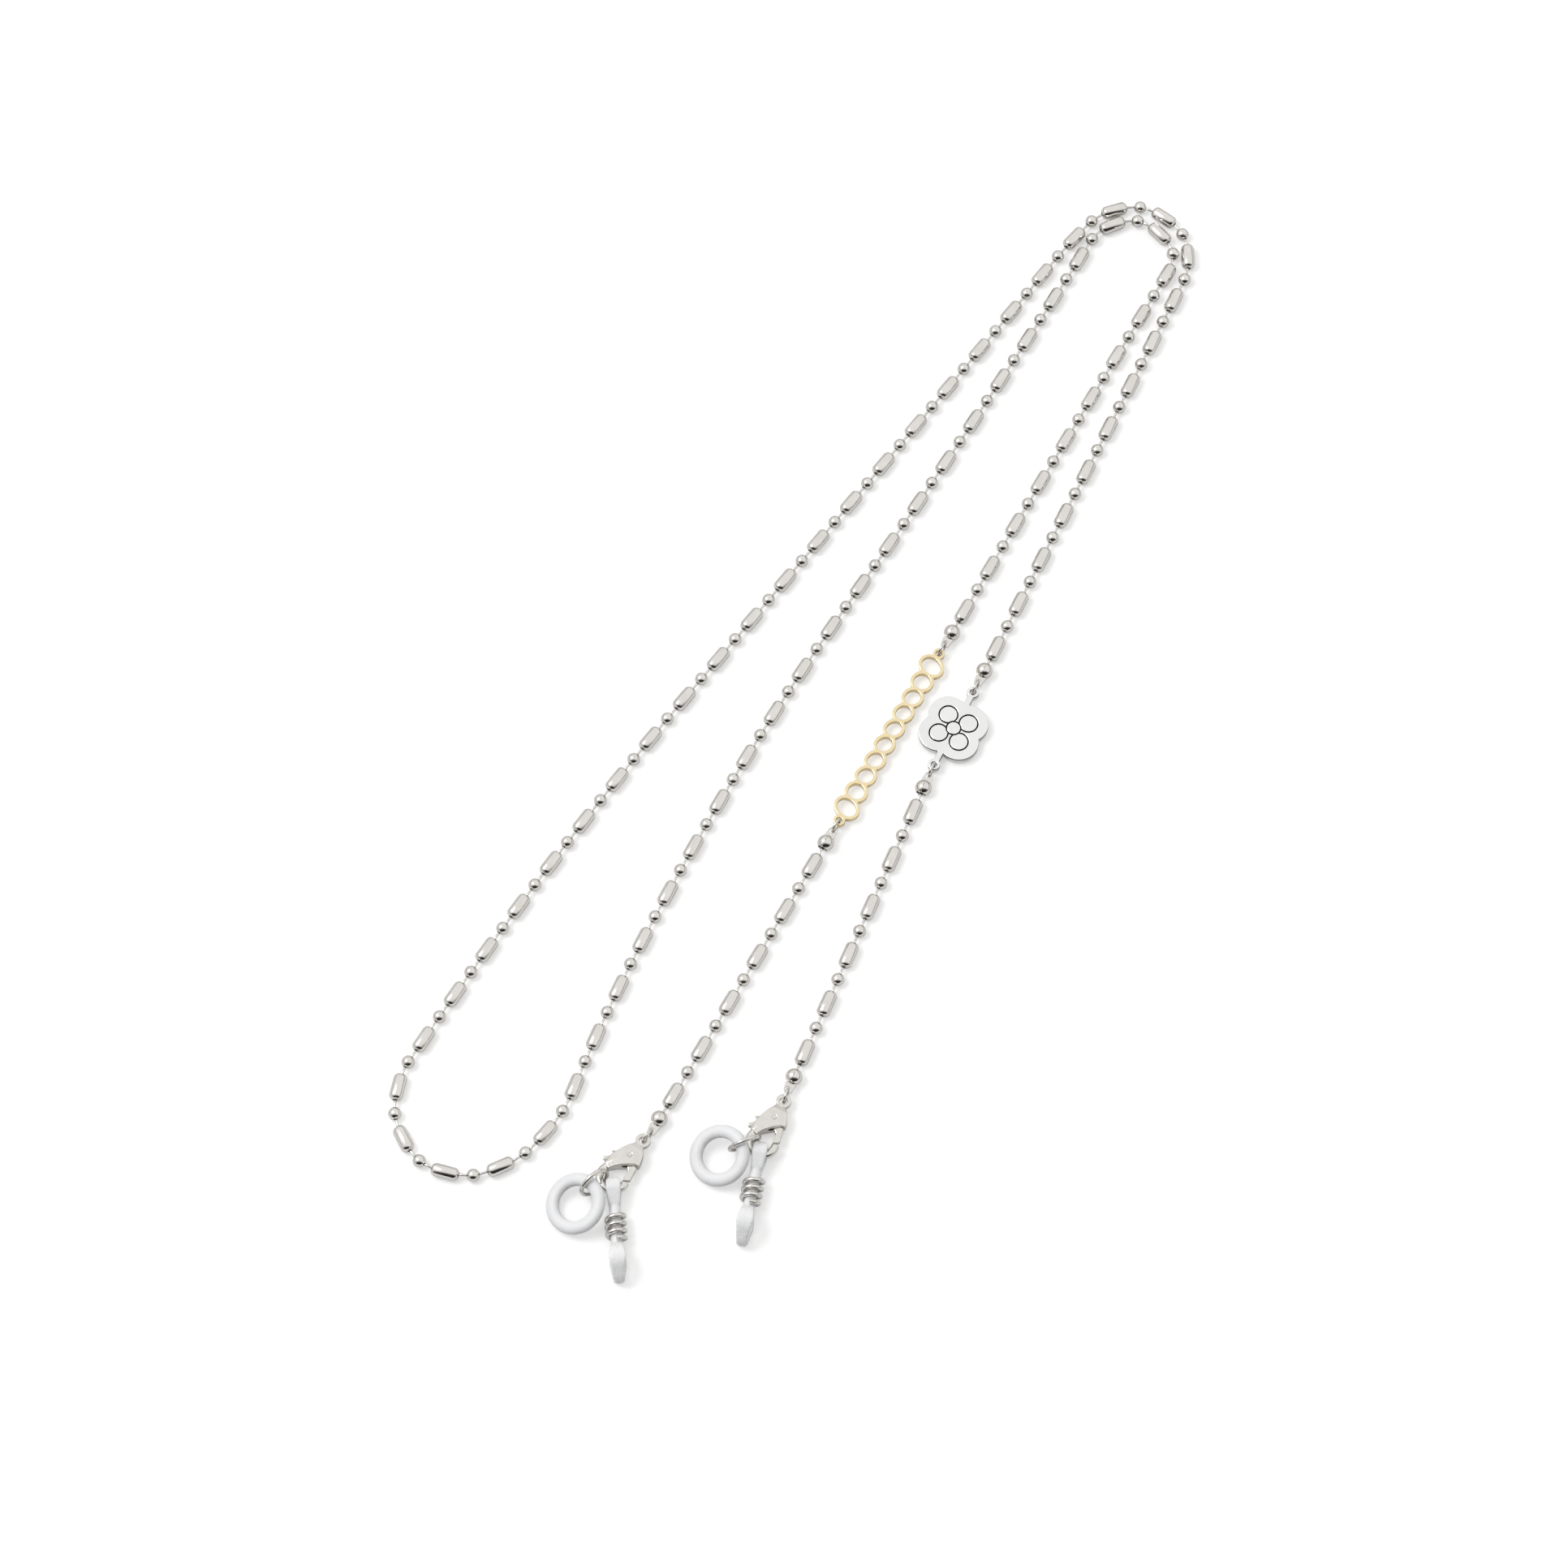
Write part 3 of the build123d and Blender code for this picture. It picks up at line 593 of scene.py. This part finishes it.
def bead_tree() -> bpy.types.NodeTree:
    """Make the tree of a round shell drawn in at both ends to a neck hole.

    Its sizes make it a ball, a bar or a pin.

    Returns:
        The tree.
    """
    tree = new_tree("drawn_bead", {
        "Radius": "Float", "Half length": "Float", "Nose": "Float", "Hole": "Float",
        "Rings": "Int", "Sides": "Int", "Seed": "Int", "Finish": "Material"})
    inputs = add_node(tree, "NodeGroupInput")
    get = inputs.outputs

    line = add_node(tree, "GeometryNodeCurvePrimitiveLine",
                    {"Start": (-1, 0, 0), "End": (1, 0, 0)})
    run = add_node(tree, "GeometryNodeResampleCurve", {},
                   {"Curve": line.outputs[0], "Count": get["Rings"]})
    # The end's rounding is an arc. Each ring of points stands at its own angle of that arc. The
    # angle goes by the point's number, for its share of the length changes once points are moved.
    share = calc(tree, "DIVIDE", add_node(tree, "GeometryNodeInputIndex").outputs[0],
                 calc(tree, "SUBTRACT", get["Rings"], 1.0))
    core = calc(tree, "SUBTRACT", get["Radius"], get["Nose"])
    widest = calc(tree, "ARCCOSINE",
                  calc(tree, "DIVIDE", calc(tree, "SUBTRACT", get["Hole"], core), get["Nose"]))
    centred = calc(tree, "SUBTRACT", calc(tree, "MULTIPLY", share, 2.0), 1.0)
    angle = calc(tree, "MULTIPLY", centred, widest)
    sine, cosine = calc(tree, "SINE", angle), calc(tree, "COSINE", angle)
    straight = calc(tree, "MULTIPLY", calc(tree, "SIGN", sine),
                    calc(tree, "SUBTRACT", get["Half length"], get["Nose"]))
    along = calc(tree, "ADD", calc(tree, "MULTIPLY", sine, get["Nose"]), straight)
    radius = calc(tree, "ADD", core, calc(tree, "MULTIPLY", cosine, get["Nose"]))
    place = add_node(tree, "ShaderNodeCombineXYZ", {}, {"X": along})
    moved = add_node(tree, "GeometryNodeSetPosition", {},
                     {0: run.outputs[0], "Position": place.outputs[0]})
    circle = add_node(tree, "GeometryNodeCurvePrimitiveCircle", {"Radius": 1.0},
                      {"Resolution": get["Sides"]})
    skin = add_node(tree, "GeometryNodeCurveToMesh", {},
                    {"Curve": moved.outputs[0], "Profile Curve": circle.outputs["Curve"],
                     "Scale": radius})
    finish_tree(tree, inputs, skin.outputs[0], math.pi)
    return tree


def ring_tree() -> bpy.types.NodeTree:
    """Make the tree of a ring bent from round wire, with a fine split.

    Returns:
        The tree.
    """
    tree = new_tree("split_ring", {
        "Mean radius": "Float", "Wire radius": "Float", "Split angle": "Float", "Seed": "Int",
        "Finish": "Material"})
    inputs = add_node(tree, "NodeGroupInput")
    get = inputs.outputs
    arc = add_node(tree, "GeometryNodeCurveArc", {"mode": "RADIUS", "Resolution": RING_STEPS},
                   {"Radius": get["Mean radius"],
                    "Start Angle": calc(tree, "MULTIPLY", get["Split angle"], 0.5),
                    "Sweep Angle": calc(tree, "SUBTRACT", 2 * math.pi, get["Split angle"])})
    wire = add_node(tree, "GeometryNodeCurvePrimitiveCircle", {"Resolution": WIRE_SIDES},
                    {"Radius": get["Wire radius"]})
    skin = add_node(tree, "GeometryNodeCurveToMesh", {"Fill Caps": True},
                    {"Curve": arc.outputs[0], "Profile Curve": wire.outputs["Curve"]})
    finish_tree(tree, inputs, skin.outputs[0], 0.0)
    return tree


# ---- the chain -------------------------------------------------------------------------------

class Bead(Enum):
    """The three repeated pieces of the chain."""

    BALL = "balls"
    BAR = "bars"
    PIN = "pins"


@dataclass
class Chain:
    """All the chain's balls, bars and pins, one piece of each for every body."""

    wardrobe: Wardrobe
    ball_d: float = 2.3
    bar_d: float = 2.4
    bar_length: float = 4.8
    bar_nose: float = 0.9
    neck_hole_d: float = 0.86
    pin_d: float = 0.44
    pin_length: float = 2.34
    pin_nose: float = 0.11  # rounding of a pin's end, and the radius of the flat that it leaves
    pin_reach: float = 2.2  # pins no further apart than this, in ball widths, share a ball
    bead_rings: int = 8
    bead_sides: int = 12
    pin_rings: int = 6
    pin_sides: int = 8

    def sizes(self, bead: Bead) -> dict[str, float]:
        """List the sizes of one kind of bead for its tree, in metres.

        Args:
            bead: the kind.

        Returns:
            Values of the tree's inputs by name.
        """
        neck = self.neck_hole_d / 2
        width, length, nose, hole = {
            Bead.BALL: (self.ball_d, self.ball_d, self.ball_d / 2, neck),
            Bead.BAR: (self.bar_d, self.bar_length, self.bar_nose, neck),
            Bead.PIN: (self.pin_d, self.pin_length, self.pin_nose, self.pin_nose),
        }[bead]
        rings, sides = ((self.pin_rings, self.pin_sides) if bead is Bead.PIN
                        else (self.bead_rings, self.bead_sides))
        return {"Radius": width / 2 * MM, "Half length": length / 2 * MM, "Nose": nose * MM,
                "Hole": hole * MM, "Rings": rings, "Sides": sides}

    def hole_axis(self, place: np.ndarray, pin_places: np.ndarray,
                  pin_axes: np.ndarray) -> np.ndarray:
        """Find which way a ball's holes point: from one of its pins to the other.

        Args:
            place: the ball's centre.
            pin_places: the middle of every pin, one in each row.
            pin_axes: the direction of every pin, one in each row.

        Returns:
            The direction, or that of its one pin where only one is in it.
        """
        near, other = np.argsort(np.linalg.norm(pin_places - place, axis=1))[:2]
        axis = pin_places[near] - pin_places[other]
        if np.linalg.norm(axis) > self.pin_reach * self.ball_d * MM:
            return pin_axes[near]
        return axis

    def build(self) -> list[bpy.types.Object]:
        """Build every chain piece.

        Returns:
            The pieces.
        """
        tree = bead_tree()
        names = [n for n in frame["nodes"] if n.rsplit("_", 1)[-1] in {b.value for b in Bead}]
        points = {name: solids(name) for name in names}
        pins = [pin for name in names if name.endswith(Bead.PIN.value) for pin in points[name]]
        pin_places = np.array([middle(pin) for pin in pins])
        pin_axes = np.array([spread(pin)[2] for pin in pins])
        pieces = []
        for seed, name in enumerate(sorted(names), 1):
            bead = Bead(name.rsplit("_", 1)[-1])
            spots = []
            for solid in points[name]:
                place = middle(solid)
                axis = (self.hole_axis(place, pin_places, pin_axes) if bead is Bead.BALL
                        else spread(solid)[2])
                spots.append(Spot(place, axis / np.linalg.norm(axis)))
            finish = Finish.STEEL_WIRE if bead is Bead.PIN else Finish.POLISHED_STEEL
            piece = grown(name + "_drawn", tree, spots,
                          {**self.sizes(bead), "Seed": seed, "Finish": self.wardrobe.get(finish)})
            pieces.append(handed(piece, name))
        return pieces


@dataclass
class WireRings:
    """The small split rings and the larger rings in the hooks."""

    wardrobe: Wardrobe
    ring_mean_d: float = 2.5
    ring_wire_d: float = 0.5
    hook_ring_mean_d: float = 5.4
    hook_ring_wire_d: float = 0.7
    split: float = 0.06

    def spot(self, node: str) -> Spot:
        """Find where a ring lies: its split's direction is the axis, and its face's the side.

        Args:
            node: the ring's CAD node.

        Returns:
            The spot.
        """
        points = solids(node)[0]
        centre, face, first, second = disc_frame(points)
        flat = np.sort(np.arctan2((points - centre) @ second, (points - centre) @ first))
        gaps = np.append(np.diff(flat), flat[0] + 2 * math.pi - flat[-1])
        widest = int(np.argmax(gaps))
        angle = flat[widest] + gaps[widest] / 2
        return Spot(centre, math.cos(angle) * first + math.sin(angle) * second, face)

    def build(self) -> list[bpy.types.Object]:
        """Build every wire ring.

        Returns:
            The pieces.
        """
        tree = ring_tree()
        small = (self.ring_mean_d, self.ring_wire_d)
        large = (self.hook_ring_mean_d, self.hook_ring_wire_d)
        kinds = {"upper_ring": small, "lower_ring": small, "clasp_ring": small, "hook_ring": large}
        pieces = []
        for side in SIDES:
            for kind, (mean_d, wire_d) in kinds.items():
                node = f"{side}_{kind}"
                piece = grown(node + "_bent", tree, [self.spot(node)], {
                    "Mean radius": mean_d / 2 * MM, "Wire radius": wire_d / 2 * MM,
                    "Split angle": 2 * self.split / mean_d, "Seed": 1,
                    "Finish": self.wardrobe.get(Finish.STEEL_WIRE)})
                pieces.append(handed(piece, node))
        return pieces


@dataclass
class GripRing:
    """A milky silicone ring with full round sides and a fine mould line."""

    wardrobe: Wardrobe
    outer_d: float = 10.6
    hole_d: float = 6.2
    thick: float = 1.8
    fullness: float = 2.7  # power of the section's outline: 2 is an ellipse, more is boxier
    flash: float = 0.03  # how far the mould line stands proud
    around: int = 96  # points round the ring
    across: int = 28  # and round its section

    def section(self) -> list[tuple[float, float]]:
        """Outline the ring's section, which has its mould line outermost.

        Returns:
            Points, each the distance from the ring's axis and the height, in millimetres.
        """
        middle_r = (self.outer_d + self.hole_d) / 4
        half = (self.outer_d - self.hole_d) / 4
        points = []
        for index in range(self.across):
            angle = 2 * math.pi * index / self.across
            c, s = math.cos(angle), math.sin(angle)
            x = math.copysign(abs(c) ** (2 / self.fullness), c) * half
            z = math.copysign(abs(s) ** (2 / self.fullness), s) * self.thick / 2
            proud = self.flash if index == 0 else 0.0
            points.append((middle_r + x - self.flash + proud, z))
        return points

    def build(self, node: str) -> bpy.types.Object:
        """Build one ring in the place of its CAD node.

        Args:
            node: the CAD node.

        Returns:
            The piece.
        """
        centre, face, first, second = disc_frame(solids(node)[0])
        section = self.section()
        shape = bmesh.new()
        rows = []
        for turn in range(self.around):
            angle = 2 * math.pi * turn / self.around
            out = math.cos(angle) * first + math.sin(angle) * second
            rows.append([shape.verts.new(tuple(centre + out * r * MM + face * z * MM))
                         for r, z in section])
        for turn in range(self.around):
            one, two = rows[turn], rows[(turn + 1) % self.around]
            for index in range(self.across):
                after = (index + 1) % self.across
                shape.faces.new((one[index], two[index], two[after], one[after]))
        bmesh.ops.recalc_face_normals(shape, faces=shape.faces)
        mesh = bpy.data.meshes.new(node + "_moulded")
        shape.to_mesh(mesh)
        shape.free()
        smooth_shaded(mesh, self.wardrobe.get(Finish.RING_SILICONE))
        return handed(shown(node + "_moulded", mesh), node)


@dataclass
class ClaspEnd:
    """Everything on one clasp: casting, lever, silicone loop, its coil and the grip ring."""

    wardrobe: Wardrobe
    side: str
    casting_voxel: float = 0.06
    casting_rounds: int = 16
    loop_voxel: float = 0.20
    loop_rounds: int = 8

    def build(self) -> list[bpy.types.Object]:
        """Build one end's pieces.

        Returns:
            The new pieces; the pins, springs and coil keep their CAD shapes.
        """
        pieces = []
        for part in ("clasp_body", "clasp_lever"):
            node = f"{self.side}_{part}"
            pieces.append(softened(node, node + "_cast", self.casting_voxel, self.casting_rounds,
                                   self.wardrobe.get(Finish.CAST_CLASP)))
        loop = f"{self.side}_temple_loop"
        pieces.append(softened(loop, loop + "_moulded", self.loop_voxel, self.loop_rounds,
                               self.wardrobe.get(Finish.LOOP_SILICONE)))
        pieces.append(GripRing(self.wardrobe).build(f"{self.side}_grip_ring"))
        for part in ("clasp_lever_pin", "clasp_lever_spring", "loop_coil"):
            dressed(f"{self.side}_{part}", self.wardrobe.get(Finish.STEEL_WIRE))
        return pieces


@dataclass
class Ornaments:
    """The gilt openwork bar, the silver pendant and the chain's end caps."""

    wardrobe: Wardrobe
    scroll_voxel: float = 0.10
    scroll_rounds: int = 4
    pendant_voxel: float = 0.07
    pendant_rounds: int = 2
    groove_from: float = 0.08  # how far under the pendant's top its grooves begin
    groove_to: float = 0.32  # and end

    def paint_groove_shade(self, pendant: bpy.types.Object) -> None:
        """Paint shade into the pendant's grooves, a little under its top face, by marking them for
        a dark colour.

        Args:
            pendant: the finished pendant.
        """
        points = np.empty(len(pendant.data.vertices) * 3)
        pendant.data.vertices.foreach_get("co", points)
        under = (points[2::3].max() - points[2::3]) / MM
        marks = ((under > self.groove_from) & (under < self.groove_to)).astype(float)
        layer = pendant.data.attributes.new(GROOVE_SHADE_MASK, "FLOAT", "POINT")
        layer.data.foreach_set("value", marks)

    def build(self) -> list[bpy.types.Object]:
        """Build the ornaments and dress the caps.

        Returns:
            The new pieces.
        """
        bar = softened("scroll_bar", "scroll_bar_gilt", self.scroll_voxel, self.scroll_rounds,
                       self.wardrobe.get(Finish.GOLD_PLATE))
        pendant = softened("pendant", "pendant_satin", self.pendant_voxel, self.pendant_rounds,
                           self.wardrobe.get(Finish.SILVER_PLATE))
        # Painted shade goes into the pendant's grooves.
        self.paint_groove_shade(pendant)
        for node in frame["nodes"]:
            if node.endswith("_cap"):
                dressed(node, self.wardrobe.get(Finish.POLISHED_STEEL))
        return [bar, pendant]


# ---- the studio ------------------------------------------------------------------------------

@dataclass
class Studio:
    """Camera, pale floor and soft light; lengths in millimetres."""

    look_at: tuple[float, float, float] = (-6.88, -20.6, 1.2)
    distance: float = 905.0
    lens: float = 119.5
    sensor: float = 36.0
    clip: tuple[float, float] = (50.0, 20000.0)
    right: tuple[float, float, float] = (0.839, 0.545, 0.0)
    toward: tuple[float, float, float] = (0.222, -0.341, 0.914)
    floor_half: float = 2500.0
    floor_colour: str = "#dedede"
    floor_lift: float = 0.38  # added for the camera alone, so that the open floor is white
    key_lean: tuple[float, float, float] = (-0.55, 0.45, 0.75)  # along right, up and toward
    key_distance: float = 1100.0
    key_width: float = 550.0
    key_watts: float = 4.5
    sky_strength: float = 0.93
    sky_colour: str = "#fbfbfa"
    horizon_colour: str = "#9a9895"
    horizon_height: tuple[float, float] = (0.02, 0.36)  # where the horizon turns into sky
    dim_colour: str = "#2c2b2a"
    dim_side: tuple[float, float] = (0.30, 0.75)  # how far to the camera's side it grows dim

    def axes(self) -> Matrix:
        """Find how the camera is turned.

        Returns:
            Its right, up and backward directions as columns.
        """
        toward = Vector(self.toward).normalized()
        right = Vector(self.right)
        right = (right - toward * right.dot(toward)).normalized()
        return Matrix((right, toward.cross(right), toward)).transposed()

    def place_camera(self) -> None:
        """Set the camera at the viewing angle."""
        data = bpy.data.cameras.new("camera")
        data.lens, data.sensor_width = self.lens, self.sensor
        data.clip_start, data.clip_end = (reach * MM for reach in self.clip)
        camera = bpy.data.objects.new("camera", data)
        bpy.context.scene.collection.objects.link(camera)
        turn = self.axes()
        place = Vector(self.look_at) * MM + turn.col[2] * self.distance * MM
        camera.matrix_world = Matrix.Translation(place) @ turn.to_4x4()
        bpy.context.scene.camera = camera

    def lay_floor(self) -> None:
        """Lay the pale floor, white to the camera where no shadow falls."""
        material = bpy.data.materials.new("white_sweep")
        material.use_nodes = True
        tree = material.node_tree
        tree.nodes.clear()
        paper = add_node(tree, "ShaderNodeBsdfDiffuse", {"Color": linear(self.floor_colour)})
        path = add_node(tree, "ShaderNodeLightPath")
        lift = calc(tree, "MULTIPLY", path.outputs["Is Camera Ray"], self.floor_lift)
        glow = add_node(tree, "ShaderNodeEmission", {"Color": (1, 1, 1, 1)}, {"Strength": lift})
        both = add_node(tree, "ShaderNodeAddShader", {}, {0: paper.outputs[0], 1: glow.outputs[0]})
        add_node(tree, "ShaderNodeOutputMaterial", {}, {"Surface": both.outputs[0]})
        half = self.floor_half * MM
        mesh = bpy.data.meshes.new("floor")
        corners = [(-half, -half, 0), (half, -half, 0), (half, half, 0), (-half, half, 0)]
        mesh.from_pydata(corners, [], [(0, 1, 2, 3)])
        mesh.materials.append(material)
        shown("floor", mesh)

    def hang_key(self) -> None:
        """Hang a soft key light at the picture's upper left."""
        key_from = (self.axes() @ Vector(self.key_lean)).normalized()
        data = bpy.data.lights.new("key", "AREA")
        data.shape, data.size, data.energy = "DISK", self.key_width * MM, self.key_watts
        key = bpy.data.objects.new("key", data)
        bpy.context.scene.collection.objects.link(key)
        place = (Vector(self.look_at) + key_from * self.key_distance) * MM
        aim = key_from.to_track_quat("Z", "Y").to_matrix().to_4x4()
        key.matrix_world = Matrix.Translation(place) @ aim

    def paint_sky(self) -> None:
        """Make a white sky over a grey horizon that grows dim towards the camera's side."""
        world = bpy.data.worlds.new("studio")
        bpy.context.scene.world = world
        world.use_nodes = True
        tree = world.node_tree
        tree.nodes.clear()
        where = add_node(tree, "ShaderNodeTexCoord").outputs["Generated"]
        ahead = Vector((self.toward[0], self.toward[1], 0)).normalized()
        side = add_node(tree, "ShaderNodeVectorMath",
                        {"operation": "DOT_PRODUCT", 1: tuple(ahead)}, {0: where})
        height = add_node(tree, "ShaderNodeSeparateXYZ", {}, {0: where})
        above, near = (
            add_node(tree, "ShaderNodeMapRange",
                     {"interpolation_type": "SMOOTHSTEP", "From Min": low, "From Max": high},
                     {"Value": value}).outputs["Result"]
            for value, (low, high) in ((height.outputs["Z"], self.horizon_height),
                                       (side.outputs["Value"], self.dim_side)))
        wall = mixed(tree, above, self.horizon_colour, self.sky_colour)
        tone = mixed(tree, near, wall, self.dim_colour)
        sky = add_node(tree, "ShaderNodeBackground", {"Strength": self.sky_strength},
                       {"Color": tone})
        add_node(tree, "ShaderNodeOutputWorld", {}, {"Surface": sky.outputs[0]})

    def build(self) -> None:
        """Set up the camera, the floor, the light and plain display colours."""
        self.place_camera()
        self.lay_floor()
        self.hang_key()
        self.paint_sky()
        bpy.context.scene.view_settings.view_transform = "Standard"


def main() -> None:
    """Build the studio and every sub-assembly in order."""
    logging.basicConfig(level=logging.INFO, format="%(name)s: %(message)s")
    Studio().build()
    wardrobe = Wardrobe()
    made = Chain(wardrobe).build() + WireRings(wardrobe).build() + Ornaments(wardrobe).build()
    for side in SIDES:
        made += ClaspEnd(wardrobe, side).build()
    LOG.info("%d pieces made", len(made))


if __name__ == "__main__":
    main()
